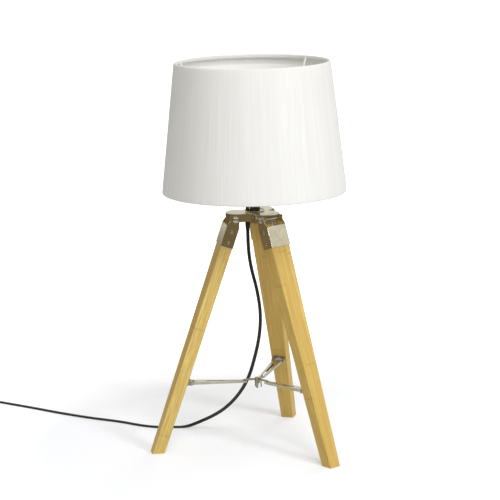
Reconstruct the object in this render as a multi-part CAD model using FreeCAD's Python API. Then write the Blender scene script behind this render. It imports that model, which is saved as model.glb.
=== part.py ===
import FreeCAD, Part
import math
import os

from FreeCAD import Placement, Rotation, Vector

# Tripod table lamp with a folding foot. Millimetres, +Z up, z = 0 is the table top.
# Every piece is drawn about the lamp's own upright axis. At the end all of them move by
# axis_x and axis_y, which makes the origin the middle of the lamp's footprint.
axis_x = 15.0
axis_y = -12.5

# Fits and gaps
screw_fit = 0.05
running_fit = 0.06
turning_gap = 0.3
side_gap = 0.45

# Legs: three tapered boards, counted anticlockwise from the one at front right
leg_azimuths = (-48.0, 72.0, 192.0)
leg_splay = 19.35
pivot_radius = 36.563
board_thickness = 20.0
foot_width = 21.5
board_width = 40.0
board_length = 400.0
board_edge = 1.5
foot_cut_below = 6.0

# Sheet metal cap on the top end of each board
cap_wall = 1.2
cap_overlap = 32.0
cap_plate_above = 3.0
cap_bend = 1.5
pivot_above = 16.0
ear_radius = 6.0
cap_screws_below = (24.0, 5.0)
cap_screw_head = 2.8
cap_screw_head_height = 1.2
cap_screw_shank = 1.5
cap_screw_length = 14.0
screw_slot = 0.7

# Sleeve bolt that each leg folds on
sleeve_radius = 3.0
sleeve_head_radius = 5.5
sleeve_head_height = 3.2
sleeve_thread_radius = 1.6
sleeve_thread_depth = 12.0
sleeve_seat_gap = 0.2
washer_radius = 5.6
washer_thickness = 0.8
bolt_screw_head_radius = 4.4
bolt_screw_head_height = 2.0

# Head: a clover-shaped plate welded on three pairs of cheeks
ear_headroom = 0.5
plate_thickness = 3.0
lobe_setback = 9.563
lobe_radius = 22.5
plate_middle_radius = 24.0
plate_edge = 1.0
cheek_thickness = 2.0
cheek_below = 4.8
cheek_reach = 9.4
cheek_corner = 6.0

# Threaded tube, dish and spacer that carry the lamp holder
tube_radius = 4.0
tube_bore = 2.6
tube_below = 9.0
nut_across_flats = 13.0
nut_height = 4.0
cup_radius = 16.5
cup_height = 2.0
cup_wall = 1.0
spacer_radius = 8.5
spacer_height = 14.0

# Moulded strain relief where the cord comes through the head plate
relief_radius = 4.0
relief_flange_radius = 4.9
relief_flange = 3.0
relief_taper_top = 4.6
relief_taper_tip = 3.5
relief_length = 24.0
relief_head = 1.5

# Lamp holder
holder_bottom_radius = 18.5
holder_shoulder = 8.0
holder_radius = 20.5
holder_flange_radius = 24.0
holder_flange = 3.0
holder_height = 21.0
holder_wall = 2.5
sleeve_height = 25.0
thread_radius = 19.6
thread_root = 19.1
thread_bore = 17.0
thread_pitch = 4.0
insert_height = 10.0
shell_radius = 14.0
shell_wall = 0.5
shell_height = 26.0
contact_radius = 3.0
contact_height = 2.0
lead_radius = 2.9
lead_inside = 4.0

# Bulb
bulb_cap_radius = 13.2
bulb_cap_height = 24.0
bulb_tip_radius = 4.8
bulb_tip_height = 4.0
bulb_radius = 30.0
bulb_length = 112.0
bulb_neck_radius = 13.6
bulb_neck_height = 5.0
glass_wall = 0.8

# Shade, its wire frame and the ring that holds it on the lamp holder
shade_drop = 2.0
shade_height = 215.0
shade_top_radius = 128.5
shade_bottom_radius = 152.8
shade_wall = 1.2
hem_width = 7.0
hem_thickness = 0.6
hem_glue = 0.05
ring_wire = 1.6
spider_wire = 1.7
spider_azimuth = 43.6
fitter_thickness = 2.0
fitter_inner = 20.4
fitter_outer = 30.0
spider_root = 28.6
spider_bend = 34.0
shade_ring_outer = 27.0
shade_ring_height = 9.0
shade_ring_notches = 12
notch_radius = 1.5

# Bracket under each leg for the stay
bracket_along = 129.5
bracket_height = 10.0
bracket_half_width = 11.0
bracket_wall = 1.5
stay_pin_out = 17.0
stay_pin_radius = 1.3
lug_radius = 3.0
lug_root = 9.0
pin_head_radius = 2.2
pin_head = 0.8
bracket_screw_offset = 5.5
bracket_screw_head = 2.6
bracket_screw_head_height = 1.2
bracket_screw_length = 11.0

# Stays: three slotted channels that tie the legs to the hub
hub_pin_radius = 21.5
hub_pin_height = 111.5
stay_sheet = 1.0
stay_tip_radius = 1.8
stay_end_radius = 2.2
stay_tip_width = 8.0
stay_end_width = 18.0
stay_slot_width = 3.2
stay_slot_length = 67.0
stay_web_start = 7.0
stay_web_end = 6.0
stay_floor_start = 34.0
hook_pin_radius = 0.9
hook_pin_overhang = 0.5

# Hub with three hooked tongues, and three ears between them to lift it by
tongue_thickness = 2.4
tongue_height = 3.0
hook_wall = 2.0
hook_depth = 1.8
boss_radius = 3.5
boss_above = 5.0
boss_below = 4.0
rivet_radius = 1.5
rivet_tail = 6.0
rivet_head_radius = 3.0
rivet_head_height = 1.2
hub_ear_out = 6.0
hub_ear_thickness = 1.4
hub_ear_width = 4.0
hub_ear_below = 10.0

# Cord: the points are where its straight runs would meet. The hanging ones give x and y, with
# their height as a share of the relief tip's; the last run on the table leads into the switch.
cord_radius = 2.9
cord_hang_plan = (
    (-12.5, 1.5),
    (-12.5, 1.5),
    (-8.6, 4.3),
    (1.9, 7.4),
    (6.9, 11),
    (3.4, 15),
    (-7.5, 18.6),
    (-17, 23.5),
    (-33, 37),
    (-55, 56),
    (-78, 76),
    (-102, 94),
)
cord_hang_shares = (1, 0.914, 0.823, 0.71, 0.597, 0.484, 0.366, 0.288, 0.207, 0.132, 0.078, 0.036)
cord_table_plan = (
    (-126, 102),
    (-151, 102),
    (-179, 103),
    (-210, 117),
    (-245, 142),
    (-299, 167),
    (-361, 205),
    (-414, 242),
    (-458, 270),
    (-495.3, 294.7),
)
bend_share = 0.45

# Inline switch
switch_length = 52.0
switch_width = 20.0
switch_base_height = 8.0
switch_height = 15.5
switch_wall = 1.8
switch_corner = 5.0
switch_edge = 1.5
rocker_radius = 10.6
rocker_width = 9.6
rocker_pivot = 12.4
rocker_above = 3.4
rocker_dip = 2.2
rocker_below = 2.4
rocker_tilt = 8.0
rocker_axle = 1.2
rocker_axle_length = 12.6
rib_half_length = 3.0
rib_start = 5.4
rib_end = 7.2
rib_low = 10.0

# Rest of the cord: a lead from the switch, a round coil held by a tie, and a tail to the plug.
# The lead is drawn from the switch's far end, and the tail from the coil's centre.
lead_plan = (
    (0, 0),
    (-19.3, 12.8),
    (-37.3, 22),
    (-55.3, 22.9),
)
coil_inner = 28.0
coil_outer = 40.0
coil_height = 8.0
coil_edge = 2.5
tie_azimuth = 150.0
tie_width = 6.0
tie_thickness = 0.8
tail_plan = (
    (-19.5, -27.9),
    (-3, -39.8),
    (14, -50.3),
    (31, -59.8),
)

# Flat plug with two round pins
plug_width = 35.3
plug_back_width = 16.0
plug_thickness = 13.7
plug_length = 36.0
plug_shoulder = 12.0
plug_edge = 2.5
plug_collar_length = 10.0
plug_collar_radius = 4.2
plug_pin_radius = 2.0
plug_pin_length = 19.0
plug_pin_spacing = 18.6

# Sizes that follow from the ones above
splay = math.radians(leg_splay)
cap_low = board_length - cap_overlap
cap_plate_high = board_length + cap_plate_above
pivot_along = board_length + pivot_above
pivot_height = pivot_along * math.cos(splay)
foot_radius = pivot_radius + pivot_along * math.sin(splay)
cap_half_width = board_width / 2 + cap_wall
bolt_seat = cap_half_width + sleeve_seat_gap
cheek_low = pivot_height - cheek_below
cheek_outside = board_width / 2 - side_gap
cheek_inside = cheek_outside - cheek_thickness
plate_low = pivot_height + ear_radius + ear_headroom
plate_top = plate_low + plate_thickness
lobe_distance = pivot_radius - lobe_setback
relief_tip = plate_low - relief_flange - relief_length
spacer_top = plate_top + spacer_height
holder_top = spacer_top + holder_height
insert_low = spacer_top + holder_shoulder
insert_top = insert_low + insert_height
shell_low = insert_top
bulb_low = insert_top + contact_height
bulb_cap_top = bulb_low + bulb_tip_height + bulb_cap_height
fitter_low = holder_top + turning_gap
fitter_top = fitter_low + fitter_thickness
shade_ring_low = fitter_top + turning_gap
shade_low = holder_top - shade_drop
shade_high = shade_low + shade_height
shade_slope = (shade_bottom_radius - shade_top_radius) / shade_height
stay_pin_r = foot_radius - stay_pin_out * math.cos(splay) - bracket_along * math.sin(splay)
stay_pin_z = bracket_along * math.cos(splay) - stay_pin_out * math.sin(splay)
stay_reach = stay_pin_r - hub_pin_radius
stay_rise = stay_pin_z - hub_pin_height
stay_length = math.hypot(stay_reach, stay_rise)
stay_slope = math.degrees(math.atan2(stay_rise, stay_reach))
cord_x, cord_y = cord_hang_plan[0]
switch_x, switch_y = cord_table_plan[-1]
switch_heading = math.atan2(
    switch_y - cord_table_plan[-2][1], switch_x - cord_table_plan[-2][0]
)
lead_x = switch_x + switch_length * math.cos(switch_heading)
lead_y = switch_y + switch_length * math.sin(switch_heading)
coil_x = lead_x + lead_plan[-1][0]
coil_y = lead_y + lead_plan[-1][1] - (coil_inner + coil_outer) / 2
plug_middle = plug_thickness / 2
plug_x = coil_x + tail_plan[-1][0]
plug_y = coil_y + tail_plan[-1][1]
plug_heading = math.atan2(
    tail_plan[-1][1] - tail_plan[-2][1], tail_plan[-1][0] - tail_plan[-2][0]
)

up = Vector(0, 0, 1)
across = Vector(0, 1, 0)


def disc(radius, low, high):
    """Round bar about the upright axis."""
    return Part.makeCylinder(radius, high - low, Vector(0, 0, low))


def collar(outer, inner, low, high):
    """Round bar with a hole through it."""
    return disc(outer, low, high).cut(disc(inner, low, high))


def rod(radius, start, end):
    """Round bar between two points."""
    run = end - start
    return Part.makeCylinder(radius, run.Length, start, run)


def block(low, high):
    """Box between two corners."""
    size = high - low
    return Part.makeBox(size.x, size.y, size.z, low)


def outline(corners):
    """Flat face inside a closed line of straight sides."""
    return Part.Face(Part.makePolygon(corners + corners[:1]))


def slab(points, start, end):
    """Plate from an upright outline of (x, z) points, running from y = start to y = end."""
    face = outline([Vector(x, start, z) for x, z in points])
    return face.extrude(Vector(0, end - start, 0))


def prism(points, low, high):
    """Upright block from a plan outline of (x, y) points."""
    face = outline([Vector(x, y, low) for x, y in points])
    return face.extrude(Vector(0, 0, high - low))


def turned(points):
    """Solid turned about the upright axis from an outline of (radius, height) points."""
    face = outline([Vector(radius, 0, height) for radius, height in points])
    return face.revolve(Vector(0, 0, 0), up, 360)


def dome(radius, height):
    """Flat cap cut from a ball, standing on z = 0."""
    ball_radius = (radius**2 + height**2) / (2 * height)
    ball = Part.makeSphere(ball_radius, Vector(0, 0, height - ball_radius))
    return ball.common(disc(radius, 0, height))


def hexagon(across_flats, low, high):
    """Six-sided block about the upright axis, with a flat side facing +X."""
    corner = across_flats / math.sqrt(3)
    turns = [math.radians(60 * i + 30) for i in range(6)]
    return prism([(corner * math.cos(a), corner * math.sin(a)) for a in turns], low, high)


def slotted_screw(head_radius, head_height, shank_radius, shank_length):
    """Screw with its domed head on z = 0 and its shank pointing down."""
    shank = disc(shank_radius, -shank_length, 0)
    slot_low = Vector(-head_radius, -screw_slot / 2, head_height / 2)
    slot = block(slot_low, Vector(head_radius, screw_slot / 2, head_height))
    return dome(head_radius, head_height).fuse(shank).cut(slot)


def facing(shape, direction, place):
    """Turns a piece drawn along +Z to point along a direction, and moves it to a place."""
    shape.Placement = Placement(place, Rotation(up, direction))
    return shape


def on_spoke(shape, azimuth):
    """Turns a piece drawn outward along +X to its place around the lamp's axis."""
    turn = Placement(Vector(0, 0, 0), Rotation(up, azimuth))
    shape.Placement = turn.multiply(shape.Placement)
    return shape


def on_leg(shape, azimuth):
    """Stands a piece drawn in the leg's frame: x outward, y across, z up along the board."""
    lean = Placement(Vector(foot_radius, 0, 0), Rotation(across, -leg_splay))
    shape.Placement = lean.multiply(shape.Placement)
    return on_spoke(shape, azimuth)


def round_bar(route, radius):
    """Bar along straight runs joined by tangent arcs. Prints the radii of the arcs."""
    points = [Vector(*point) for point in route]
    edges = []
    radii = []
    last = points[0]
    for before, corner, after in zip(points, points[1:], points[2:]):
        into = corner - before
        out = after - corner
        turn = into.getAngle(out)
        tangent = bend_share * min(into.Length, out.Length)
        bend_radius = tangent / math.tan(turn / 2)
        bow = bend_radius / math.cos(turn / 2) - bend_radius
        into.normalize()
        out.normalize()
        inward = (out - into).normalize()
        arc_start = corner - into * tangent
        arc_end = corner + out * tangent
        edges.append(Part.LineSegment(last, arc_start).toShape())
        edges.append(Part.Arc(arc_start, corner + inward * bow, arc_end).toShape())
        radii.append(round(bend_radius, 1))
        last = arc_end
    edges.append(Part.LineSegment(last, points[-1]).toShape())
    spine = Part.Wire(edges)
    section = Part.Wire(Part.makeCircle(radius, points[0], points[1] - points[0]))
    bar = spine.makePipeShell([section], True, False)
    share = bar.Volume / (math.pi * radius**2 * spine.Length)
    print("bends", radii, "length", round(spine.Length, 1), "volume share", round(share, 4))
    return bar


# ---- Legs ----

def leg_board():
    """Tapered board with rounded edges and a foot cut level with the table."""
    half = board_thickness / 2
    cut = half * math.tan(splay)
    side = [(-half, cut), (half, -cut), (half, board_length), (-half, board_length)]
    edge = board_width / 2
    board = slab(side, -edge, edge)
    foot = foot_width / 2
    front = [(-foot, -foot_cut_below), (foot, -foot_cut_below), (edge, cap_low)]
    front += [(edge, board_length), (-edge, board_length), (-edge, cap_low)]
    face = outline([Vector(-board_thickness, y, z) for y, z in front])
    board = board.common(face.extrude(Vector(2 * board_thickness, 0, 0)))
    long_edges = [e for e in board.Edges if e.BoundBox.ZLength > board_thickness]
    board = board.makeFillet(board_edge, long_edges)
    for place, direction in cap_screw_places():
        board = board.cut(rod(cap_screw_shank, place, place - direction * cap_screw_length))
    for side in (1, -1):
        mouth = Vector(-half, side * bracket_screw_offset, bracket_along)
        board = board.cut(rod(cap_screw_shank, mouth, mouth + Vector(bracket_screw_length, 0, 0)))
    return board


def cap_screw_places():
    """Each cap screw's seat on the outside of the cap, with the way it faces."""
    places = []
    for side in (1, -1):
        for below in cap_screws_below:
            place = Vector(0, side * cap_half_width, board_length - below)
            places.append((place, across * side))
    return places


def leg_cap():
    """Folded sheet that wraps the board's outer face and both its sides."""
    inner = board_thickness / 2
    outer = inner + cap_wall
    side = [(-inner, cap_low), (outer, cap_low), (outer, cap_plate_high)]
    side += [(ear_radius, pivot_along), (-ear_radius, pivot_along), (-inner, cap_plate_high)]
    cap = slab(side, -cap_half_width, cap_half_width)
    ear_axis = Vector(0, cap_half_width, pivot_along)
    cap = cap.fuse(rod(ear_radius, ear_axis, ear_axis - across * 2 * cap_half_width))
    cap = cap.removeSplitter()
    bends = [e for e in cap.Edges if is_bend(e, outer)]
    cap = cap.makeFillet(cap_bend, bends)
    edge = board_width / 2
    far = 2 * board_thickness
    top = pivot_along + far
    cap = cap.cut(block(Vector(-far, -edge, 0), Vector(inner, edge, top)))
    cap = cap.cut(block(Vector(-far, -edge, cap_plate_high), Vector(far, edge, top)))
    hole = rod(sleeve_radius + running_fit, ear_axis, ear_axis - across * 2 * cap_half_width)
    cap = cap.cut(hole)
    for place, direction in cap_screw_places():
        cap = cap.cut(rod(cap_screw_shank + screw_fit, place, place - direction * 2 * cap_wall))
    return cap


def is_bend(edge, outer):
    """True for the two straight edges where the cap's plate turns into its sides."""
    box = edge.BoundBox
    straight = box.ZLength > board_thickness and box.XLength < screw_fit
    return straight and abs(box.XMax - outer) < screw_fit


def leg_cap_screws():
    screws = []
    for place, direction in cap_screw_places():
        screw = slotted_screw(
            cap_screw_head, cap_screw_head_height, cap_screw_shank, cap_screw_length
        )
        screws.append(facing(screw, direction, place))
    return screws


def stay_bracket():
    """Sheet metal bracket with two lugs, screwed to the board's inner face."""
    face = -board_thickness / 2
    low = bracket_along - bracket_height / 2
    high = bracket_along + bracket_height / 2
    base = block(
        Vector(face - bracket_wall, -bracket_half_width, low),
        Vector(face, bracket_half_width, high),
    )
    root = lug_root / 2
    ear = [(face, bracket_along - root), (face, bracket_along + root)]
    ear += [(-stay_pin_out, bracket_along + lug_radius)]
    ear += [(-stay_pin_out, bracket_along - lug_radius)]
    for side in (1, -1):
        start = side * bracket_half_width
        end = side * (bracket_half_width - bracket_wall)
        centre = Vector(-stay_pin_out, start, bracket_along)
        lug = slab(ear, start, end)
        lug = lug.fuse(rod(lug_radius, centre, centre - across * side * bracket_wall))
        base = base.fuse(lug)
    for side in (1, -1):
        seat = Vector(face - bracket_wall, side * bracket_screw_offset, bracket_along)
        base = base.cut(rod(cap_screw_shank + screw_fit, seat, seat + Vector(bracket_wall, 0, 0)))
    pin_axis = Vector(-stay_pin_out, -bracket_half_width, bracket_along)
    base = base.cut(rod(stay_pin_radius, pin_axis, pin_axis + across * 2 * bracket_half_width))
    return base.removeSplitter()


def bracket_screws():
    screws = []
    for side in (1, -1):
        length = bracket_screw_length + bracket_wall
        screw = slotted_screw(
            bracket_screw_head, bracket_screw_head_height, cap_screw_shank, length
        )
        face = -board_thickness / 2 - bracket_wall
        seat = Vector(face, side * bracket_screw_offset, bracket_along)
        screws.append(facing(screw, Vector(-1, 0, 0), seat))
    return screws


def stay_pin():
    """Riveted pin that the stay turns on."""
    centre = Vector(-stay_pin_out, 0, bracket_along)
    pin = rod(
        stay_pin_radius,
        centre - across * bracket_half_width,
        centre + across * bracket_half_width,
    )
    for side in (1, -1):
        seat = centre + across * side * bracket_half_width
        pin = pin.fuse(rod(pin_head_radius, seat, seat + across * side * pin_head))
    return pin.removeSplitter()


# ---- Head ----

def head_plate():
    """Clover-shaped plate with a rounded upper edge."""
    plate = disc(plate_middle_radius, plate_low, plate_top)
    for azimuth in leg_azimuths:
        lobe = Part.makeCylinder(
            lobe_radius, plate_thickness, Vector(lobe_distance, 0, plate_low)
        )
        plate = plate.fuse(on_spoke(lobe, azimuth))
    plate = plate.removeSplitter()
    rim = [e for e in plate.Edges if e.BoundBox.ZMin > plate_top - screw_fit]
    plate = plate.makeFillet(plate_edge, rim)
    plate = plate.cut(disc(tube_radius + screw_fit, plate_low, plate_top))
    return plate.cut(cord_hole(relief_radius, plate_low, plate_top))


def cord_hole(radius, low, high):
    """Upright bar where the cord passes through."""
    return rod(radius, Vector(cord_x, cord_y, low), Vector(cord_x, cord_y, high))


def head_frame():
    """Six cheeks in pairs, mitred together behind the legs."""
    mitre = math.tan(math.radians(60))
    reach = pivot_radius + cheek_reach
    cheeks = []
    for azimuth in leg_azimuths:
        for side in (1, -1):
            plan = [
                (cheek_inside / mitre, side * cheek_inside),
                (reach, side * cheek_inside),
                (reach, side * cheek_outside),
                (cheek_outside / mitre, side * cheek_outside),
            ]
            cheek = prism(plan, cheek_low, plate_low)
            corner = [e for e in cheek.Edges if is_low_corner(e, reach)]
            cheek = cheek.makeFillet(cheek_corner, corner)
            pivot = Vector(pivot_radius, side * cheek_outside, pivot_height)
            bolt = rod(sleeve_radius + screw_fit, pivot, pivot - across * side * cheek_thickness)
            cheeks.append(on_spoke(cheek.cut(bolt), azimuth))
    return cheeks[0].fuse(cheeks[1:]).removeSplitter()


def is_low_corner(edge, reach):
    """True for the lower outer edge of a cheek."""
    box = edge.BoundBox
    return box.XMin > reach - screw_fit and box.ZMax < cheek_low + screw_fit


def pivot_sleeves():
    """Domed sleeve bolts that the legs turn on."""
    sleeves = []
    for azimuth in leg_azimuths:
        length = 2 * bolt_seat
        sleeve = dome(sleeve_head_radius, sleeve_head_height).fuse(disc(sleeve_radius, -length, 0))
        sleeve = sleeve.cut(disc(sleeve_thread_radius, -length, sleeve_thread_depth - length))
        place = Vector(pivot_radius, bolt_seat, pivot_height)
        sleeves.append(on_spoke(facing(sleeve, across, place), azimuth))
    return sleeves


def pivot_washers():
    washers = []
    for azimuth in leg_azimuths:
        washer = collar(washer_radius, sleeve_thread_radius + screw_fit, 0, washer_thickness)
        place = Vector(pivot_radius, -bolt_seat, pivot_height)
        washers.append(on_spoke(facing(washer, -across, place), azimuth))
    return washers


def pivot_screws():
    """Slotted screws in the open ends of the sleeve bolts."""
    screws = []
    for azimuth in leg_azimuths:
        length = washer_thickness + sleeve_thread_depth
        screw = slotted_screw(
            bolt_screw_head_radius, bolt_screw_head_height, sleeve_thread_radius, length
        )
        place = Vector(pivot_radius, -bolt_seat - washer_thickness, pivot_height)
        screws.append(on_spoke(facing(screw, -across, place), azimuth))
    return screws


def threaded_tube():
    return collar(tube_radius, tube_bore, plate_low - tube_below, spacer_top + holder_shoulder)


def tube_nuts():
    """One nut under the head plate and one inside the holder."""
    low = hexagon(nut_across_flats, plate_low - nut_height, plate_low)
    floor = spacer_top + holder_wall
    high = hexagon(nut_across_flats, floor, floor + nut_height)
    hole = disc(tube_radius, plate_low - nut_height, floor + nut_height)
    return [low.cut(hole), high.cut(hole)]


def holder_cup():
    """Shallow turned dish on the head plate, under the spacer."""
    floor = plate_top + cup_wall
    rim = plate_top + cup_height
    lip = cup_radius - cup_wall
    cup = turned(
        [
            (0, plate_top),
            (lip, plate_top),
            (cup_radius, floor),
            (cup_radius, rim),
            (lip, rim),
            (lip, floor),
            (0, floor),
        ]
    )
    cup = cup.cut(disc(tube_radius + screw_fit, plate_top, rim))
    return cup.cut(cord_hole(relief_radius, plate_top, rim))


def holder_spacer():
    return collar(spacer_radius, tube_radius + screw_fit, plate_top + cup_wall, spacer_top)


# ---- Lamp holder and bulb ----

def holder_base():
    """Moulded cup with a flange that the shade's fitter ring sits above."""
    floor = spacer_top + holder_wall
    bore = holder_radius - holder_wall
    flange_low = holder_top - holder_flange
    body = turned(
        [
            (0, spacer_top),
            (holder_bottom_radius, spacer_top),
            (holder_radius, insert_low),
            (holder_radius, flange_low),
            (holder_flange_radius, flange_low),
            (holder_flange_radius, holder_top),
            (bore, holder_top),
            (bore, insert_low),
            (holder_bottom_radius - holder_wall, insert_low),
            (holder_bottom_radius - holder_wall, floor),
            (0, floor),
        ]
    )
    body = body.cut(disc(tube_radius + screw_fit, spacer_top, floor))
    return body.cut(cord_hole(lead_radius, spacer_top, floor))


def holder_insert():
    """Core that carries the contacts, seated on the ledge inside the base."""
    return disc(holder_radius - holder_wall, insert_low, insert_top)


def holder_sleeve():
    """Outer sleeve, threaded for the ring that holds the shade."""
    high = holder_top + sleeve_height
    bore = holder_radius - holder_wall
    profile = [(thread_bore, insert_top), (bore, insert_top), (bore, holder_top)]
    height = holder_top
    while height + thread_pitch < high:
        profile.append((thread_root, height))
        profile.append((thread_radius, height + thread_pitch / 4))
        profile.append((thread_radius, height + thread_pitch / 2))
        profile.append((thread_root, height + 3 * thread_pitch / 4))
        height += thread_pitch
    profile.append((thread_root, high))
    profile.append((thread_bore, high))
    return turned(profile)


def screw_shell():
    """Threaded metal shell that the bulb's cap screws into."""
    return collar(shell_radius, shell_radius - shell_wall, shell_low, shell_low + shell_height)


def centre_contact():
    return disc(contact_radius, insert_top, bulb_low)


def inner_lead():
    """Stretch of the cord between its strain relief and the inside of the holder."""
    relief_top = plate_top + cup_wall + relief_head
    return cord_hole(lead_radius, relief_top, spacer_top + holder_wall + lead_inside)


def bulb_cap():
    body_low = bulb_low + bulb_tip_height
    return turned(
        [
            (0, bulb_low),
            (bulb_tip_radius, bulb_low),
            (bulb_cap_radius, body_low),
            (bulb_cap_radius, bulb_cap_top),
            (0, bulb_cap_top),
        ]
    )


def bulb_solid(inset):
    """Ball with a neck that meets it smoothly, drawn a wall's thickness further in."""
    ball = bulb_radius - inset
    centre = bulb_low + bulb_length - bulb_radius
    neck = bulb_neck_radius - inset
    neck_high = bulb_cap_top + bulb_neck_height
    away = math.hypot(neck, centre - neck_high)
    lean = math.atan2(neck, centre - neck_high) + math.acos(ball / away)
    touch = Vector(ball * math.sin(lean), 0, centre - ball * math.cos(lean))
    middle_lean = (lean + math.pi) / 2
    middle = Vector(ball * math.sin(middle_lean), 0, centre - ball * math.cos(middle_lean))
    foot = Vector(neck, 0, bulb_cap_top)
    shoulder = Vector(neck, 0, neck_high)
    top = Vector(0, 0, centre + ball)
    edges = [
        Part.LineSegment(Vector(0, 0, bulb_cap_top), foot).toShape(),
        Part.LineSegment(foot, shoulder).toShape(),
        Part.LineSegment(shoulder, touch).toShape(),
        Part.Arc(touch, middle, top).toShape(),
        Part.LineSegment(top, Vector(0, 0, bulb_cap_top)).toShape(),
    ]
    return Part.Face(Part.Wire(edges)).revolve(Vector(0, 0, 0), up, 360)


def bulb_glass():
    return bulb_solid(0).cut(bulb_solid(glass_wall))


# ---- Shade ----

def shade_radius(height):
    """Outside radius of the shade at a height."""
    return shade_bottom_radius - shade_slope * (height - shade_low)


def shade_band(low, high, inset, thickness):
    """Conical band inside the shade's outer surface."""
    outer_low = shade_radius(low) - inset
    outer_high = shade_radius(high) - inset
    return turned(
        [
            (outer_low - thickness, low),
            (outer_low, low),
            (outer_high, high),
            (outer_high - thickness, high),
        ]
    )


def shade_hem(low):
    """Turned-in edge of the cover, stuck to its inside with a film of glue."""
    return shade_band(low, low + hem_width, shade_wall + hem_glue, hem_thickness)


def hoop_radius(height):
    """Radius of a hoop's centre line where it lies against the hem."""
    return shade_radius(height) - shade_wall - hem_glue - hem_thickness - screw_fit - ring_wire


def wire_ring(height):
    """Wire hoop inside the hem, with its centre line at a height."""
    return Part.makeTorus(hoop_radius(height), ring_wire, Vector(0, 0, height))


def shade_top_frame():
    """Top hoop, three wires and fitter ring, welded together."""
    hoop_height = shade_high - ring_wire - hem_thickness
    frame = collar(fitter_outer, fitter_inner, fitter_low, fitter_top)
    frame = frame.fuse(wire_ring(hoop_height))
    wire_end = hoop_radius(hoop_height) - ring_wire / 2
    level = (fitter_low + fitter_top) / 2
    for i in range(3):
        route = [(spider_root, 0, level), (spider_bend, 0, level)]
        route += [(wire_end, 0, hoop_height - ring_wire / 2)]
        frame = frame.fuse(on_spoke(round_bar(route, spider_wire), spider_azimuth + 120 * i))
    return frame


def shade_ring():
    """Threaded ring with finger notches that clamps the fitter ring."""
    high = shade_ring_low + shade_ring_height
    ring = collar(shade_ring_outer, thread_radius + screw_fit, shade_ring_low, high)
    for i in range(shade_ring_notches):
        turn = math.radians(360 / shade_ring_notches * i)
        place = Vector(shade_ring_outer * math.cos(turn), shade_ring_outer * math.sin(turn), 0)
        notch = rod(notch_radius, place + up * shade_ring_low, place + up * high)
        ring = ring.cut(notch)
    return ring


# ---- Spreader ----

def stay():
    """Slotted channel, drawn from the hub pin at the origin out to the leg pin along +X."""
    tip = stay_tip_radius
    end = stay_end_radius
    length = stay_length
    half = stay_end_width / 2
    side = slab([(0, -tip), (length, -end), (length, end), (0, tip)], -half, half)
    tip_pin = rod(tip, Vector(0, -half, 0), Vector(0, half, 0))
    end_pin = rod(end, Vector(length, -half, 0), Vector(length, half, 0))
    body = side.fuse([tip_pin, end_pin])
    body = body.common(stay_plan(0, -end, end))
    floor = stay_sheet - end
    room = [(-end, -2 * end), (stay_floor_start, -2 * end), (stay_floor_start, floor)]
    room += [(length + 2 * end, floor), (length + 2 * end, end - stay_sheet)]
    room += [(-end, tip - stay_sheet)]
    hollow = slab(room, -half, half).common(stay_plan(stay_sheet, -2 * end, end))
    open_tip = block(Vector(-end, -half, -end), Vector(stay_web_start, half, end))
    open_end = block(
        Vector(length - stay_web_end, -half, -end),
        Vector(length + 2 * end, half, end),
    )
    open_ends = open_tip.fuse(open_end).common(stay_plan(stay_sheet, -end, end))
    slot_half = stay_slot_width / 2
    slot = block(Vector(-end, -slot_half, 0), Vector(stay_slot_length, slot_half, end))
    body = body.cut([hollow, open_ends, slot])
    body = body.cut(rod(hook_pin_radius, Vector(0, -half, 0), Vector(0, half, 0)))
    far = Vector(length, 0, 0)
    hole = rod(stay_pin_radius + running_fit, far - across * half, far + across * half)
    return body.cut(hole)


def stay_plan(inset, low, high):
    """The stay's outline from above, a sheet's thickness further in at the sides."""
    start = -2 * stay_end_radius
    finish = stay_length + 2 * stay_end_radius
    growth = (stay_end_width - stay_tip_width) / 2 / (stay_length + stay_end_radius)
    near = stay_tip_width / 2 + growth * start - inset
    far = stay_tip_width / 2 + growth * finish - inset
    return prism([(start, -near), (finish, -far), (finish, far), (start, near)], low, high)


def hook_pin():
    half = stay_tip_width / 2 + hook_pin_overhang
    return rod(hook_pin_radius, Vector(0, -half, 0), Vector(0, half, 0))


def at_hub(shape, azimuth):
    """Places a piece drawn in the stay's frame."""
    place = Placement(Vector(hub_pin_radius, 0, hub_pin_height), Rotation(across, -stay_slope))
    shape.Placement = place
    return on_spoke(shape, azimuth)


def stay_hub():
    """Boss with three tongues that hook over the stays' pins from above, and three ears."""
    under = hub_pin_height + hook_pin_radius + turning_gap
    hook_inner = hub_pin_radius + hook_pin_radius + turning_gap
    tip = hook_inner + hook_wall
    tongue = [(0, under), (hook_inner, under), (hook_inner, hub_pin_height - hook_depth)]
    tongue += [(tip, hub_pin_height - hook_depth), (tip, under + tongue_height)]
    tongue += [(0, under + tongue_height)]
    hub = disc(boss_radius, hub_pin_height - boss_below, hub_pin_height + boss_above)
    half = tongue_thickness / 2
    for azimuth in leg_azimuths:
        hub = hub.fuse(on_spoke(slab(tongue, -half, half), azimuth))
        hub = hub.fuse(on_spoke(hub_ear(), azimuth + 60))
    hub = hub.cut(disc(rivet_radius, hub_pin_height - rivet_tail, hub_pin_height + boss_above))
    return hub.removeSplitter()


def hub_ear():
    """Sheet tab from the top of the boss, bent down and rounded at its end."""
    high = hub_pin_height + boss_above
    low = hub_pin_height - hub_ear_below
    inner = hub_ear_out - hub_ear_thickness
    side = [(0, high), (hub_ear_out, high), (hub_ear_out, low), (inner, low)]
    side += [(inner, high - hub_ear_thickness), (0, high - hub_ear_thickness)]
    half = hub_ear_width / 2
    end = Vector(inner, 0, low)
    return slab(side, -half, half).fuse(rod(half, end, end + Vector(hub_ear_thickness, 0, 0)))


def hub_rivet():
    high = hub_pin_height + boss_above
    head = dome(rivet_head_radius, rivet_head_height)
    head.Placement = Placement(Vector(0, 0, high), Rotation())
    return head.fuse(disc(rivet_radius, hub_pin_height - rivet_tail, high))


# ---- Cord ----

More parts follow.
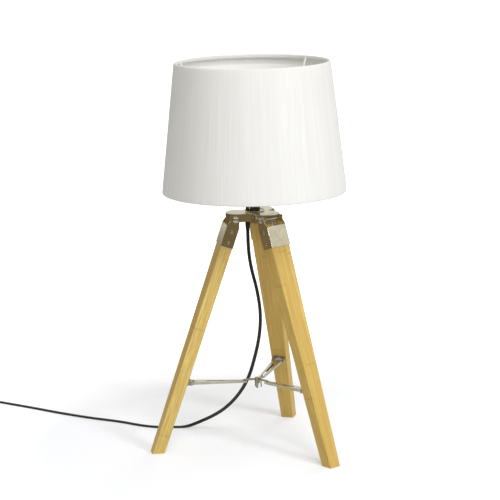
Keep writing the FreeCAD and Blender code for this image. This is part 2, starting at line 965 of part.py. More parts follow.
def strain_relief():
    """Moulded relief: tapered sleeve, flange under the plate and a head above the dish."""
    flange_low = plate_low - relief_flange
    top = plate_top + cup_wall + relief_head
    relief = turned(
        [
            (0, relief_tip),
            (relief_taper_tip, relief_tip),
            (relief_taper_top, flange_low),
            (relief_flange_radius, flange_low),
            (relief_flange_radius, plate_low),
            (relief_radius, plate_low),
            (relief_radius, top),
            (0, top),
        ]
    )
    relief.Placement = Placement(Vector(cord_x, cord_y, 0), Rotation())
    return relief


def cord_route():
    """Points of the cord from its relief to the switch."""
    route = []
    for (x, y), share in zip(cord_hang_plan, cord_hang_shares):
        route.append((x, y, share * relief_tip))
    for x, y in cord_table_plan:
        route.append((x, y, cord_radius))
    return route


def lead_route():
    """Points of the cord from the switch into the coil."""
    return [(lead_x + x, lead_y + y, cord_radius) for x, y in lead_plan]


def tail_route():
    """Points of the cord from the coil up to the middle of the plug's back."""
    heights = (cord_radius, cord_radius, plug_middle, plug_middle)
    return [(coil_x + x, coil_y + y, z) for (x, y), z in zip(tail_plan, heights)]


def in_line(shape):
    """Places a piece drawn along +X from the switch's lamp end, on the table."""
    turn = math.degrees(switch_heading)
    shape.Placement = Placement(Vector(switch_x, switch_y, 0), Rotation(up, turn))
    return shape


def switch_block(low, high, inset):
    """Block with rounded upright edges, a wall's thickness further in."""
    half = switch_width / 2 - inset
    size = block(Vector(inset, -half, low), Vector(switch_length - inset, half, high))
    uprights = [e for e in size.Edges if e.BoundBox.ZLength > switch_edge]
    return size.makeFillet(switch_corner - inset, uprights)


def switch_base():
    shell = switch_block(0, switch_base_height, 0)
    return in_line(shell.cut(switch_block(switch_wall, switch_base_height, switch_wall)))


def switch_cover():
    """Upper shell with the rocker's opening and two ribs that hold its axle."""
    cover = switch_block(switch_base_height, switch_height, 0)
    top = [e for e in cover.Edges if e.BoundBox.ZMin > switch_height - screw_fit]
    cover = cover.makeFillet(switch_edge, top)
    roof = switch_height - switch_wall
    cover = cover.cut(switch_block(switch_base_height, roof, switch_wall))
    middle = switch_length / 2
    for side in (1, -1):
        rib = block(
            Vector(middle - rib_half_length, min(side * rib_start, side * rib_end), rib_low),
            Vector(middle + rib_half_length, max(side * rib_start, side * rib_end), roof),
        )
        cover = cover.fuse(rib)
    reach = rocker_radius + turning_gap
    half = rocker_width / 2 + turning_gap
    opening = block(
        Vector(middle - reach, -half, switch_base_height),
        Vector(middle + reach, half, switch_height),
    )
    axle_half = rocker_axle_length / 2 + turning_gap
    axle_mid = Vector(middle, 0, rocker_pivot)
    axle = rod(
        rocker_axle + running_fit, axle_mid - across * axle_half, axle_mid + across * axle_half
    )
    return in_line(cover.cut([opening, axle]).removeSplitter())


def switch_rocker():
    """Rocker pressed down at the lamp's side; its ends are round about the axle."""
    half = rocker_width / 2
    middle = switch_length / 2
    reach = 2 * rocker_radius
    profile = [(-reach, -rocker_below), (reach, -rocker_below)]
    profile += [(reach, reach), (rocker_radius, rocker_above), (0, rocker_dip)]
    profile += [(-rocker_radius, rocker_above), (-reach, reach)]
    body = slab(profile, -half, half)
    body = body.common(rod(rocker_radius, Vector(0, -half, 0), Vector(0, half, 0)))
    axle_half = rocker_axle_length / 2
    body = body.fuse(rod(rocker_axle, Vector(0, -axle_half, 0), Vector(0, axle_half, 0)))
    body.Placement = Placement(
        Vector(middle, 0, rocker_pivot), Rotation(across, -rocker_tilt)
    )
    placed = body.Placement
    body = in_line(body)
    body.Placement = body.Placement.multiply(placed)
    return body


def coil_solid():
    """Outer shape of the coiled cord."""
    coil = collar(coil_outer, coil_inner, 0, coil_height)
    coil = coil.makeFillet(coil_edge, [e for e in coil.Edges if e.BoundBox.ZLength < coil_edge])
    coil.Placement = Placement(Vector(coil_x, coil_y, 0), Rotation())
    return coil


def coil_tie():
    """Flat strap round the coil."""
    outer = block(
        Vector(coil_inner - tie_thickness, -tie_width / 2, 0),
        Vector(coil_outer + tie_thickness, tie_width / 2, coil_height + tie_thickness),
    )
    inner = block(
        Vector(coil_inner, -tie_width / 2, tie_thickness),
        Vector(coil_outer, tie_width / 2, coil_height),
    )
    tie = outer.cut(inner)
    tie.Placement = Placement(Vector(coil_x, coil_y, 0), Rotation(up, tie_azimuth))
    return tie


def plug_place(shape):
    """Places a piece drawn along +X from where the tail of the cord enters the plug."""
    turn = math.degrees(plug_heading)
    shape.Placement = Placement(Vector(plug_x, plug_y, 0), Rotation(up, turn))
    return shape


def plug_body():
    """Flat body with shoulders and a collar on the cord's side."""
    back = plug_collar_length
    front = back + plug_length
    shoulder = back + plug_shoulder
    plan = [(back, -plug_back_width / 2), (shoulder, -plug_width / 2), (front, -plug_width / 2)]
    plan += [(front, plug_width / 2), (shoulder, plug_width / 2), (back, plug_back_width / 2)]
    body = prism(plan, 0, plug_thickness)
    body = body.makeFillet(plug_edge, body.Edges)
    start = Vector(0, 0, plug_middle)
    body = body.fuse(rod(plug_collar_radius, start, Vector(shoulder, 0, plug_middle)))
    for pin in plug_pin_rods(front - plug_shoulder, front):
        body = body.cut(pin)
    return plug_place(body)


def plug_pin_rods(start, end):
    rods = []
    for side in (1, -1):
        y = side * plug_pin_spacing / 2
        pin_start = Vector(start, y, plug_middle)
        rods.append(rod(plug_pin_radius, pin_start, Vector(end, y, plug_middle)))
    return rods


def plug_pins():
    front = plug_collar_length + plug_length
    tip = front + plug_pin_length
    pins = []
    for pin in plug_pin_rods(front - plug_shoulder, tip):
        ends = [e for e in pin.Edges if e.BoundBox.XMin > tip - screw_fit]
        pins.append(plug_place(pin.makeFillet(plug_pin_radius / 2, ends)))
    return pins


# ---- Assembly ----

def all_nodes():
    """Every node by name, each as a list of solids."""
    nodes = {
        "head_plate": [head_plate()],
        "head_frame": [head_frame()],
        "pivot_sleeves": pivot_sleeves(),
        "pivot_washers": pivot_washers(),
        "pivot_screws": pivot_screws(),
        "threaded_tube": [threaded_tube()],
        "tube_nuts": tube_nuts(),
        "holder_cup": [holder_cup()],
        "holder_spacer": [holder_spacer()],
        "holder_base": [holder_base()],
        "holder_insert": [holder_insert()],
        "holder_sleeve": [holder_sleeve()],
        "screw_shell": [screw_shell()],
        "centre_contact": [centre_contact()],
        "inner_lead": [inner_lead()],
        "bulb_cap": [bulb_cap()],
        "bulb_glass": [bulb_glass()],
        "shade_ring": [shade_ring()],
        "shade_cover": [shade_band(shade_low, shade_high, 0, shade_wall)],
        "shade_top_frame": [shade_top_frame()],
        "shade_bottom_ring": [wire_ring(shade_low + ring_wire)],
        "shade_top_hem": [shade_hem(shade_high - hem_width)],
        "shade_bottom_hem": [shade_hem(shade_low)],
        "stay_hub": [stay_hub()],
        "hub_rivet": [hub_rivet()],
        "strain_relief": [strain_relief()],
        "switch_base": [switch_base()],
        "switch_cover": [switch_cover()],
        "switch_rocker": [switch_rocker()],
        "coil_tie": [coil_tie()],
        "plug_body": [plug_body()],
        "plug_pins": plug_pins(),
    }
    for number, azimuth in enumerate(leg_azimuths, start=1):
        leg = "leg_%d" % number
        nodes[leg] = [on_leg(leg_board(), azimuth)]
        nodes[leg + "_cap"] = [on_leg(leg_cap(), azimuth)]
        nodes[leg + "_cap_screws"] = [on_leg(screw, azimuth) for screw in leg_cap_screws()]
        nodes[leg + "_bracket"] = [on_leg(stay_bracket(), azimuth)]
        nodes[leg + "_bracket_screws"] = [on_leg(screw, azimuth) for screw in bracket_screws()]
        nodes[leg + "_stay_pin"] = [on_leg(stay_pin(), azimuth)]
        nodes["stay_%d" % number] = [at_hub(stay(), azimuth)]
        nodes["stay_%d_hook_pin" % number] = [at_hub(hook_pin(), azimuth)]
    coil = coil_solid()
    nodes["cord_tube"] = [round_bar(cord_route(), cord_radius)]
    nodes["cord_lead"] = [round_bar(lead_route(), cord_radius).cut(coil)]
    nodes["cord_tail"] = [round_bar(tail_route(), cord_radius).cut(coil)]
    nodes["cord_coil"] = [coil.cut(nodes["coil_tie"][0])]
    return nodes


os.makedirs("parts", exist_ok=True)
stand = Placement(Vector(axis_x, axis_y, 0), Rotation())
for name, solids in all_nodes().items():
    shape = solids[0] if len(solids) == 1 else Part.makeCompound(solids)
    shape.Placement = stand.multiply(shape.Placement)
    shape.exportStep("parts/%s.step" % name)
    print(name, len(shape.Solids), round(shape.Volume, 1), shape.isValid())
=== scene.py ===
import math

import bpy
from mathutils import Matrix, Vector


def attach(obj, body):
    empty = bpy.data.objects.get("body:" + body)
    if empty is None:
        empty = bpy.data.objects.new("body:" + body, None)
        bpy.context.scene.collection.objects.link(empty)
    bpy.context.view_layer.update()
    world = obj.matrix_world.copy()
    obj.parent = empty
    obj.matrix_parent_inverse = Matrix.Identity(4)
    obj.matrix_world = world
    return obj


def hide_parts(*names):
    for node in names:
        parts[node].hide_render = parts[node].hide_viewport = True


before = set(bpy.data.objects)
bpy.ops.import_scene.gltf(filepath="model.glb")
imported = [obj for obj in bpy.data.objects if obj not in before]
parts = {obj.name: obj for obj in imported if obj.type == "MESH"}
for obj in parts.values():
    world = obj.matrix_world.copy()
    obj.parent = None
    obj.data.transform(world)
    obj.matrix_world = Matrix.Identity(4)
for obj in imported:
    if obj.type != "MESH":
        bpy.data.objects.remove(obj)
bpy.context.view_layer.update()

scene = bpy.context.scene

# ---- The table top, the studio and the camera ----
# The lamp stands on a white table against a white background. One large soft lamp stands at
# the front right, one high in front, a weak one behind. Pale surroundings fill the rest.
lamp_axis = Vector((0.015, -0.0125, 0))
camera_distance = 3.073
camera_height = 0.9489
camera_yaw = math.radians(-0.174)
camera_pitch = math.radians(-11.282)
camera_roll = math.radians(-1.081)

lens = bpy.data.cameras.new("photograph_view")
lens.sensor_width = 36
lens.lens = 135.56
lens.clip_end = 50
camera = bpy.data.objects.new("photograph_view", lens)
scene.collection.objects.link(camera)
turn = Matrix.Rotation(-camera_yaw, 4, "Z")
turn @= Matrix.Rotation(math.radians(90) + camera_pitch, 4, "X")
turn @= Matrix.Rotation(camera_roll, 4, "Z")
camera.matrix_world = Matrix.Translation(lamp_axis + Vector((0, -camera_distance, camera_height))) @ turn
scene.camera = camera
scene.view_settings.view_transform = "Standard"


def new_finish(name, colour, roughness, metallic=0.0):
    """A surface of one colour, to which a section adds its grain, threads or wear."""
    made = bpy.data.materials.new(name)
    made.use_nodes = True
    surface = made.node_tree.nodes["Principled BSDF"]
    surface.inputs["Base Color"].default_value = (*colour, 1)
    surface.inputs["Roughness"].default_value = roughness
    surface.inputs["Metallic"].default_value = metallic
    return made, made.node_tree, surface


def add(tree, kind, *sources, **settings):
    """A shader node with its settings, fed in order by values or by other nodes' outputs."""
    node = tree.nodes.new("ShaderNode" + kind)
    for name, value in settings.items():
        setattr(node, name, value)
    for socket, source in zip(node.inputs, sources):
        if isinstance(source, bpy.types.NodeSocket):
            tree.links.new(source, socket)
        elif source is not None:
            socket.default_value = source
    return node.outputs[0]


def object_place(tree):
    return tree.nodes.new("ShaderNodeTexCoord").outputs["Object"]


def roughen(tree, surface, height, strength, depth):
    """Raises and sinks the surface a little by a texture's value."""
    bump = tree.nodes.new("ShaderNodeBump")
    bump.inputs["Strength"].default_value = strength
    bump.inputs["Distance"].default_value = depth
    tree.links.new(height, bump.inputs["Height"])
    tree.links.new(bump.outputs[0], surface.inputs["Normal"])


def math_node(tree, operation, *sources):
    return add(tree, "Math", *sources, operation=operation)


def mix_colours(tree, share, first, second):
    return add(tree, "MixRGB", share, first, second)


def blend_range(tree, value, low, high, start=0.0, end=1.0):
    """Carries a value's range over to another one, held at both ends."""
    node = tree.nodes.new("ShaderNodeMapRange")
    tree.links.new(value, node.inputs["Value"])
    for name, number in (("From Min", low), ("From Max", high), ("To Min", start), ("To Max", end)):
        node.inputs[name].default_value = number
    return node.outputs[0]


surroundings = bpy.data.worlds.new("white_surroundings")
surroundings.use_nodes = True
scene.world = surroundings
tree = surroundings.node_tree
tree.nodes.clear()
path = tree.nodes.new("ShaderNodeLightPath")
direction = tree.nodes.new("ShaderNodeTexCoord")
split = tree.nodes.new("ShaderNodeSeparateXYZ")
tree.links.new(direction.outputs["Generated"], split.inputs[0])
rightward = math_node(tree, "MULTIPLY", split.outputs["X"], 0.7)
bright_side = math_node(tree, "ADD", split.outputs["Y"], rightward)
share = blend_range(tree, bright_side, -0.45, 0.3)
reflected = mix_colours(tree, share, (0.2, 0.15, 0.075, 1), (0.8, 0.78, 0.68, 1))
overhead = blend_range(tree, split.outputs["Z"], 0.0, 1.0, 0.29, 0.72)
around = add(tree, "Background", (1, 0.96, 0.84, 1), overhead)
seen_in_metal = add(tree, "Background", reflected, 0.9)
white = add(tree, "Background", (1, 1, 1, 1), 1.0)
lit = add(tree, "MixShader", path.outputs["Is Glossy Ray"], around, seen_in_metal)
plain = math_node(tree, "MAXIMUM", path.outputs["Is Camera Ray"], path.outputs["Is Transmission Ray"])
seen = add(tree, "MixShader", plain, lit, white)
tree.links.new(seen, tree.nodes.new("ShaderNodeOutputWorld").inputs["Surface"])

table_finish, tree, surface = new_finish("white_table", (0.775, 0.8, 0.88), 0.9)
surface.inputs["Specular IOR Level"].default_value = 0.0
path = tree.nodes.new("ShaderNodeLightPath")
spot = tree.nodes.new("ShaderNodeTexCoord")
distance = tree.nodes.new("ShaderNodeVectorMath")
distance.operation = "LENGTH"
tree.links.new(spot.outputs["Object"], distance.inputs[0])
outward = blend_range(tree, distance.outputs["Value"], 0.35, 0.95, 0.23, 0.9)
glow = add(tree, "Emission", (1, 1, 1, 1), outward)
bright = add(tree, "AddShader", surface.outputs[0], glow)
# Seen in metal, the table glows instead of reflecting: painted reflection, pale near the lamp and brown
# farther off.
far = blend_range(tree, distance.outputs["Value"], 0.5, 1.2)
mirrored = mix_colours(tree, far, (0.72, 0.71, 0.64, 1), (0.2, 0.15, 0.075, 1))
in_metal = add(tree, "Emission", mirrored, 0.9)
direct = add(tree, "MixShader", path.outputs["Is Camera Ray"], surface.outputs[0], bright)
shown = add(tree, "MixShader", path.outputs["Is Glossy Ray"], direct, in_metal)
tree.links.new(shown, tree.nodes["Material Output"].inputs["Surface"])

table_mesh = bpy.data.meshes.new("table_top")
reach = 12.0
table_mesh.from_pydata(
    [(-reach, -reach, 0), (reach, -reach, 0), (reach, reach, 0), (-reach, reach, 0)], [], [(0, 1, 2, 3)]
)
table_mesh.materials.append(table_finish)
table_top = bpy.data.objects.new("table_top", table_mesh)
scene.collection.objects.link(table_top)


def soft_lamp(name, place, aim, size, power):
    """Square studio lamp that faces a point."""
    light = bpy.data.lights.new(name, "AREA")
    light.shape = "SQUARE"
    light.size = size
    light.energy = power
    lamp = bpy.data.objects.new(name, light)
    scene.collection.objects.link(lamp)
    lamp.location = place
    lamp.rotation_euler = (Vector(aim) - Vector(place)).to_track_quat("-Z", "Y").to_euler()


soft_lamp("key_lamp", (2.15, -2.45, 2.3), (0, 0, 0.35), 0.8, 50)
soft_lamp("front_lamp", (0.5, -2.3, 3.0), (0, 0, 0.5), 1.0, 35)
soft_lamp("back_lamp", (1.5, 2.8, 2.2), (0, 0, 0.35), 1.5, 18)


# ---- Legs ----
# Boards glued up from bamboo strips, planed, tapered and oiled. Each strip has its own tone,
# fine lengthwise fibres and a darker node mark now and then.
def dress(finish, *names):
    """Gives carried-over parts a finish."""
    for name in names:
        mesh = parts[name].data
        if not mesh.materials:
            mesh.materials.append(finish)
        for slot in parts[name].material_slots:
            slot.material = finish


leg_lean = math.radians(19.35)
foot_radius = 0.1744
strip_width = 0.02
strip_depth = 0.02
knot_spacing = 0.19
knot_wave = 0.006


def bamboo(name, azimuth):
    made, tree, surface = new_finish(name, (0.72, 0.49, 0.18), 0.42)
    board = tree.nodes.new("ShaderNodeMapping")
    board.vector_type = "TEXTURE"
    foot = lamp_axis + Matrix.Rotation(azimuth, 3, "Z") @ Vector((foot_radius, 0, 0))
    board.inputs["Location"].default_value = foot
    board.inputs["Rotation"].default_value = (0, -leg_lean, azimuth)
    tree.links.new(object_place(tree), board.inputs["Vector"])
    split = tree.nodes.new("ShaderNodeSeparateXYZ")
    tree.links.new(board.outputs[0], split.inputs[0])
    deep, wide, along = split.outputs
    row = math_node(tree, "DIVIDE", wide, strip_width)
    row = math_node(tree, "ADD", row, 0.5)
    layer = math_node(tree, "DIVIDE", deep, strip_depth)
    layer = math_node(tree, "ADD", layer, 0.5)
    cell = tree.nodes.new("ShaderNodeCombineXYZ")
    tree.links.new(math_node(tree, "FLOOR", row), cell.inputs[0])
    tree.links.new(math_node(tree, "FLOOR", layer), cell.inputs[1])
    cell.inputs[2].default_value = azimuth
    strip_tone = add(tree, "TexWhiteNoise", cell.outputs[0])
    fibre_place = add(tree, "VectorMath", board.outputs[0], (1, 1, 0.012), operation="MULTIPLY")
    fibres = add(tree, "TexNoise", fibre_place, None, 1100.0, 4.0, 0.65)
    streak_place = add(tree, "VectorMath", board.outputs[0], (1, 1, 0.03), operation="MULTIPLY")
    streaks = add(tree, "TexNoise", streak_place, None, 330.0, 3.0, 0.6)
    wavy = math_node(tree, "MULTIPLY", streaks, knot_wave)
    knot_at = math_node(tree, "DIVIDE", math_node(tree, "ADD", along, wavy), knot_spacing)
    shift = math_node(tree, "MULTIPLY", strip_tone, 7.0)
    knot_at = math_node(tree, "FRACT", math_node(tree, "ADD", knot_at, shift))
    from_knot = math_node(tree, "ABSOLUTE", math_node(tree, "SUBTRACT", knot_at, 0.5))
    knot_near = blend_range(tree, from_knot, 0.002, 0.012, 1.0, 0.0)
    joint = math_node(tree, "FRACT", row)
    joint = math_node(tree, "ABSOLUTE", math_node(tree, "SUBTRACT", joint, 0.5))
    joint = blend_range(tree, joint, 0.48, 0.495)
    colour = mix_colours(tree, strip_tone, (0.7, 0.505, 0.13, 1), (0.88, 0.71, 0.235, 1))
    weak_fibres = blend_range(tree, fibres, 0.35, 0.68, 0.0, 0.75)
    colour = mix_colours(tree, weak_fibres, colour, (0.46, 0.27, 0.07, 1))
    weak_streaks = blend_range(tree, streaks, 0.42, 0.7, 0.0, 0.75)
    colour = mix_colours(tree, weak_streaks, colour, (0.56, 0.34, 0.085, 1))
    weak_knots = math_node(tree, "MULTIPLY", knot_near, 0.3)
    colour = mix_colours(tree, weak_knots, colour, (0.36, 0.2, 0.07, 1))
    weak_joints = math_node(tree, "MULTIPLY", joint, 0.35)
    colour = mix_colours(tree, weak_joints, colour, (0.4, 0.24, 0.08, 1))
    tree.links.new(colour, surface.inputs["Base Color"])
    tree.links.new(blend_range(tree, fibres, 0.3, 0.7, 0.36, 0.55), surface.inputs["Roughness"])
    surface.inputs["Specular IOR Level"].default_value = 0.4
    height = math_node(tree, "SUBTRACT", fibres, math_node(tree, "MULTIPLY", joint, 0.6))
    roughen(tree, surface, height, 0.25, 0.00025)
    return made


for number, degrees in enumerate((-48, 72, 192), start=1):
    dress(bamboo("bamboo_%d" % number, math.radians(degrees)), "leg_%d" % number)


# ---- Caps, head plate and cheeks ----
# Sheet steel, folded or stamped, polished and chromed. It mirrors the bright side of the room
# and the brown floor in front of it, with faint rubbing marks from handling.
def bright_metal(name, colour, roughness, scratch):
    made, tree, surface = new_finish(name, colour, roughness, metallic=1.0)
    spot = object_place(tree)
    cloud = add(tree, "TexNoise", spot, None, 60.0, 3.0)
    rubbed = add(tree, "VectorMath", spot, (1, 1, 14), operation="MULTIPLY")
    lines = add(tree, "TexNoise", rubbed, None, 420.0, 4.0, 0.7)
    tree.links.new(
        blend_range(tree, cloud, 0.3, 0.7, roughness * 0.7, roughness * 1.5), surface.inputs["Roughness"]
    )
    # Patches of the base colour a fifth darker are painted reflection, standing in for the room mirrored
    # unevenly in the metal.
    painted_reflection_colour = tuple(value * 0.8 for value in colour)
    tone = mix_colours(tree, blend_range(tree, cloud, 0.4, 0.7), (*colour, 1), (*painted_reflection_colour, 1))
    tree.links.new(tone, surface.inputs["Base Color"])
    roughen(tree, surface, lines, scratch, 0.0002)
    return made


chrome = bright_metal("polished_chrome", (0.84, 0.8, 0.67), 0.13, 0.03)
dress(chrome, "head_plate", "head_frame", "holder_cup")
dress(chrome, *("leg_%d_cap" % number for number in (1, 2, 3)))

# ---- Pivot bolts, screws, nuts and tube ----
# Turned steel, zinc plated, with a satin face where a driver or a spanner grips. The bolts hold
# the caps between the cheeks, and the tube carries the lamp holder.
steel = bright_metal("bright_steel", (0.74, 0.72, 0.67), 0.24, 0.12)
dress(steel, "pivot_sleeves", "pivot_washers", "pivot_screws", "threaded_tube", "tube_nuts")
for number in (1, 2, 3):
    dress(steel, "leg_%d_stay_pin" % number, "stay_%d_hook_pin" % number)

# ---- Spreader ----
# The stays are channels folded from nickel-plated strip. Brackets, hub and the screws in the
# boards are darker steel.
nickel = bright_metal("nickel_strip", (0.76, 0.75, 0.68), 0.2, 0.12)
dark_steel = bright_metal("dark_steel", (0.5, 0.48, 0.4), 0.28, 0.12)
for number in (1, 2, 3):
    dress(nickel, "stay_%d" % number)
    dress(dark_steel, "leg_%d_bracket" % number)
    dress(dark_steel, "leg_%d_cap_screws" % number, "leg_%d_bracket_screws" % number)
dress(dark_steel, "stay_hub", "hub_rivet")


# ---- Lamp holder, switch, plug, relief and tie ----
# Housings moulded of black plastic with a fine eroded grain. Inside the lamp holder, an insert of
# glazed ceramic carries the contacts.
def moulded(name, colour, roughness, grain_size, depth):
    made, tree, surface = new_finish(name, colour, roughness)
    spot = object_place(tree)
    grain = add(tree, "TexNoise", spot, None, 1 / grain_size, 2.0)
    cloud = add(tree, "TexNoise", spot, None, 35.0, 3.0)
    tree.links.new(
        blend_range(tree, cloud, 0.3, 0.7, roughness * 0.85, roughness * 1.2), surface.inputs["Roughness"]
    )
    lighter = tuple(value + (0.9 - value) * 0.02 for value in colour)
    tone = mix_colours(tree, blend_range(tree, cloud, 0.35, 0.7), (*colour, 1), (*lighter, 1))
    tree.links.new(tone, surface.inputs["Base Color"])
    roughen(tree, surface, grain, 0.3, depth)
    return made


black = moulded("black_plastic", (0.02, 0.02, 0.019), 0.42, 0.0006, 0.00006)
dress(black, "holder_spacer", "holder_base", "holder_sleeve", "shade_ring", "strain_relief")
dress(black, "switch_base", "switch_cover", "switch_rocker", "plug_body", "coil_tie", "inner_lead")
ceramic = moulded("glazed_ceramic", (0.62, 0.61, 0.57), 0.2, 0.002, 0.00003)
dress(ceramic, "holder_insert")

# ---- Contacts, plug pins and bulb ----
# Contacts and pins are pressed or turned brass. The bulb is blown opal glass, cemented in a
# pressed aluminium cap that is screwed into the shell.
brass = bright_metal("brass", (0.83, 0.62, 0.3), 0.22, 0.1)
dress(brass, "screw_shell", "centre_contact", "plug_pins")
aluminium = bright_metal("aluminium", (0.8, 0.8, 0.8), 0.32, 0.1)
dress(aluminium, "bulb_cap")
opal = moulded("opal_glass", (0.72, 0.72, 0.7), 0.18, 0.004, 0.00002)
dress(opal, "bulb_glass")


# ---- Cord ----
# Flat black twin cord, 5.8 mm wide and 3.6 mm thick. It hangs from its relief under the head,
# bends away behind the left leg and lies on the table. The rest is a coil out of view.
cord_width = 0.0058
cord_thickness = 0.0036
on_table = cord_thickness / 2
hanging = [
    (-0.0125, 0.0015, 0.372), (-0.0125, 0.0015, 0.34), (-0.0086, 0.0043, 0.3062),
    (0.0019, 0.0074, 0.2641), (0.0069, 0.011, 0.2221), (0.0034, 0.015, 0.18),
    (-0.0075, 0.0186, 0.1362), (-0.017, 0.0235, 0.1071), (-0.033, 0.037, 0.077),
    (-0.055, 0.056, 0.0491), (-0.078, 0.076, 0.029), (-0.102, 0.094, 0.0134),
]
lying = [
    (-0.126, 0.102), (-0.151, 0.102), (-0.179, 0.103), (-0.21, 0.117), (-0.245, 0.142), (-0.299, 0.167),
    (-0.361, 0.205), (-0.414, 0.242), (-0.458, 0.27), (-0.4953, 0.2947),
    (-0.5387, 0.3234), (-0.558, 0.3362), (-0.576, 0.3454),
]
coil_centre = Vector((-0.594, 0.3123, 0))
points_per_turn = 15
turns = 3.4
inner_turn = 0.0312
outer_turn = 0.0368
wide_of_curve = 1 / (0.75 + 0.25 * math.cos(2 * math.pi / points_per_turn))
tail = [(-0.597, 0.2725, 0.003), (-0.58, 0.262, 0.00685), (-0.563, 0.2525, 0.00685)]

route = [Vector(point) for point in hanging] + [Vector((x, y, on_table)) for x, y in lying]
for step in range(int(turns * points_per_turn) + 1):
    done = step / points_per_turn
    angle = math.radians(90) + 2 * math.pi * done
    inward = min(max((done - 0.85) / 0.2, 0), 1) - min(max((done - 2.85) / 0.2, 0), 1)
    lifted = min(max((done - 1.85) / 0.2, 0), 1)
    radius = (outer_turn + (inner_turn - outer_turn) * inward) * wide_of_curve
    height = on_table + cord_thickness * lifted
    route.append(coil_centre + Vector((radius * math.cos(angle), radius * math.sin(angle), height)))
route += [Vector(point) for point in tail]
route = [point + lamp_axis for point in route]

cord_line = bpy.data.curves.new("cord_line", "CURVE")
cord_line.dimensions = "3D"
cord_line.resolution_u = 6
spline = cord_line.splines.new("NURBS")
spline.points.add(len(route) - 1)
for control, point in zip(spline.points, route):
    control.co = (*point, 1)
spline.order_u = 3
spline.use_endpoint_u = True
line_object = bpy.data.objects.new("cord_line", cord_line)
scene.collection.objects.link(line_object)
bpy.context.view_layer.update()
line_mesh = bpy.data.meshes.new_from_object(line_object)
line = [v.co.copy() for v in line_mesh.vertices]
bpy.data.objects.remove(line_object)
bpy.data.meshes.remove(line_mesh)

core = cord_thickness / 2
core_offset = cord_width / 2 - core
turn_upright = 1.4
section = []
waist_angle = math.radians(78)
core_steps = 8
for side in (1, -1):
    for step in range(core_steps + 1):
        angle = waist_angle * (2 * step / core_steps - 1)
        section.append((side * (core_offset + core * math.cos(angle)), side * core * math.sin(angle)))
rings = []
for index, point in enumerate(line):
    before = line[max(index - 1, 0)]
    after = line[min(index + 1, len(line) - 1)]
    along = (after - before).normalized()
    steep = min(abs(along.z) * turn_upright, 1)
    face = Vector((0, -steep, 1 - steep))
    face = (face - along * face.dot(along)).normalized()
    wide = along.cross(face)
    rings.append([point + wide * a + face * b for a, b in section])
count = len(section)
corners = [corner for ring in rings for corner in ring]
faces = []
for ring in range(len(rings) - 1):
    for side in range(count):
        low = ring * count
        next_side = (side + 1) % count
        faces.append((low + side, low + next_side, low + count + next_side, low + count + side))
faces.append(tuple(reversed(range(count))))
faces.append(tuple(range(len(corners) - count, len(corners))))
cord_mesh = bpy.data.meshes.new("cord")
cord_mesh.from_pydata(corners, [], faces)
cord_mesh.update()
cord = bpy.data.objects.new("cord", cord_mesh)
scene.collection.objects.link(cord)
for face in cord_mesh.polygons:
    face.use_smooth = True

cord_finish, tree, surface = new_finish("black_cord_jacket", (0.018, 0.018, 0.017), 0.42)
spot = object_place(tree)
grain = add(tree, "TexNoise", spot, None, 900.0, 3.0)
tree.links.new(blend_range(tree, grain, 0.3, 0.7, 0.36, 0.52), surface.inputs["Roughness"])
roughen(tree, surface, grain, 0.15, 0.0002)
cord_mesh.materials.append(cord_finish)
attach(cord, "lamp")
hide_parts("cord_tube", "cord_lead", "cord_coil", "cord_tail")

# ---- Shade frame ----
# A fitter ring, three wires and a hoop at the top are welded together, with a loose hoop for the
# bottom rim. All are steel wire, bent and coated white.
coated = moulded("white_coated_wire", (0.78, 0.78, 0.76), 0.3, 0.003, 0.00005)
dress(coated, "shade_top_frame", "shade_bottom_ring")

# ---- Shade ----
# White cotton and linen cloth pasted on a stiff lining, wrapped round a wire hoop at the top and
# at the bottom. Its fine threads run upright and its edges lap at the back.
shade_low = 0.435
shade_high = 0.65
low_radius = 0.1528
high_radius = 0.1285
cloth = 0.0012
wrap = 0.0025
hem_height = 0.007
lap_at = math.radians(90)
lap_half = 0.04
lap_rise = 0.0004
lap_slope = 0.012
around_steps = 540
wall_steps = 24
lining_steps = 20
wrap_steps = 8
hem_slope = 0.0008
hem_rest = 0.0006


def shade_profile():
    """Closed outline as (distance inward from the outer face, height)."""
    outline = []
    wall_low = shade_low + wrap
    wall_high = shade_high - wrap
    for step in range(wall_steps + 1):
        outline.append((0.0, wall_low + (wall_high - wall_low) * step / wall_steps))
    for step in range(1, wrap_steps + 1):
        turn = math.pi * step / wrap_steps
        outline.append((wrap - wrap * math.cos(turn), wall_high + wrap * math.sin(turn)))
    outline.append((2 * wrap, shade_high - hem_height * 0.7))
    outline.append((2 * wrap - hem_slope, shade_high - hem_height))
    top = shade_high - hem_height - hem_rest
    bottom = shade_low + hem_height + hem_rest
    for step in range(lining_steps + 1):
        outline.append((cloth, top + (bottom - top) * step / lining_steps))
    outline.append((2 * wrap - hem_slope, shade_low + hem_height))
    outline.append((2 * wrap, shade_low + hem_height * 0.7))
    for step in range(wrap_steps):
        turn = math.pi * step / wrap_steps
        outline.append((wrap + wrap * math.cos(turn), wall_low - wrap * math.sin(turn)))
    return outline


profile = shade_profile()
corners = []
for step in range(around_steps):
    turn = 2 * math.pi * step / around_steps
    off = abs((turn - lap_at + math.pi) % (2 * math.pi) - math.pi)
    lap = lap_rise * min(max((lap_half - off) / lap_slope, 0), 1)
    for inset, height in profile:
        share = (height - shade_low) / (shade_high - shade_low)
        radius = low_radius + (high_radius - low_radius) * share - inset
        if inset < cloth / 2:
            radius += lap
        corners.append(lamp_axis + Vector((radius * math.cos(turn), radius * math.sin(turn), height)))
faces = []
size = len(profile)
for step in range(around_steps):
    here = step * size
    ahead = (step + 1) % around_steps * size
    for point in range(size):
        after = (point + 1) % size
        faces.append((here + point, ahead + point, ahead + after, here + after))
shade_mesh = bpy.data.meshes.new("shade_cloth")
shade_mesh.from_pydata(corners, [], faces)
shade_mesh.update()
lining_start = wall_steps + 1 + wrap_steps + 3
lining_faces = range(lining_start, lining_start + lining_steps - 1)
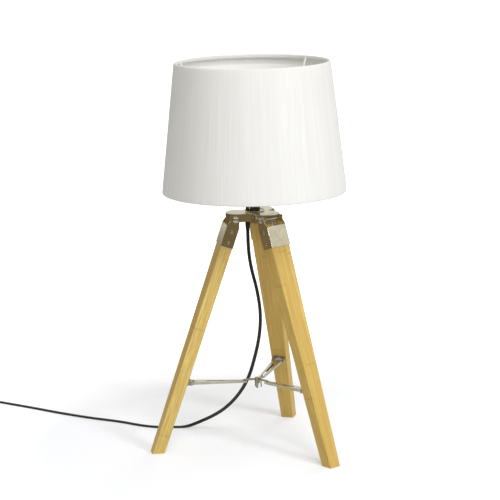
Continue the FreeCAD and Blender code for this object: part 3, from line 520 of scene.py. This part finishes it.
for face in shade_mesh.polygons:
    face.use_smooth = True
    face.material_index = int(face.index % size in lining_faces)
shade = bpy.data.objects.new("shade_cloth", shade_mesh)
scene.collection.objects.link(shade)

linen, tree, surface = new_finish("white_linen", (0.84, 0.835, 0.815), 0.85)
centred = add(tree, "VectorMath", object_place(tree), tuple(lamp_axis), operation="SUBTRACT")
split = tree.nodes.new("ShaderNodeSeparateXYZ")
tree.links.new(centred, split.inputs[0])
turn = math_node(
    tree, "ARCTAN2", split.outputs["X"], math_node(tree, "MULTIPLY", split.outputs["Y"], -1.0)
)
threads = math_node(tree, "SINE", math_node(tree, "MULTIPLY", turn, 1600.0))
weft = math_node(tree, "SINE", math_node(tree, "MULTIPLY", split.outputs["Z"], 9000.0))
upright = tree.nodes.new("ShaderNodeCombineXYZ")
tree.links.new(math_node(tree, "MULTIPLY", turn, 0.14), upright.inputs[0])
tree.links.new(math_node(tree, "MULTIPLY", split.outputs["Z"], 0.012), upright.inputs[2])
slubs = add(tree, "TexNoise", upright.outputs[0], None, 520.0, 3.0, 0.6)
soft = add(tree, "TexNoise", upright.outputs[0], None, 90.0, 2.0, 0.5)
slubby = blend_range(tree, slubs, 0.35, 0.68)
tone = mix_colours(tree, slubby, (0.86, 0.86, 0.85, 1), (0.775, 0.775, 0.76, 1))
softly = blend_range(tree, soft, 0.4, 0.65, 0.0, 0.7)
tone = mix_colours(tree, softly, tone, (0.8, 0.8, 0.785, 1))
tree.links.new(tone, surface.inputs["Base Color"])
threads = math_node(tree, "MULTIPLY", threads, 0.25)
height = math_node(tree, "ADD", threads, math_node(tree, "MULTIPLY", weft, 0.1))
height = math_node(tree, "ADD", height, slubs)
roughen(tree, surface, height, 0.35, 0.0004)
surface.inputs["Sheen Weight"].default_value = 0.15
surface.inputs["Specular IOR Level"].default_value = 0.15
shade_mesh.materials.append(linen)
shade_mesh.materials.append(moulded("white_lining", (0.92, 0.92, 0.905), 0.6, 0.0015, 0.00004))
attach(shade, "shade")
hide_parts("shade_cover", "shade_top_hem", "shade_bottom_hem")
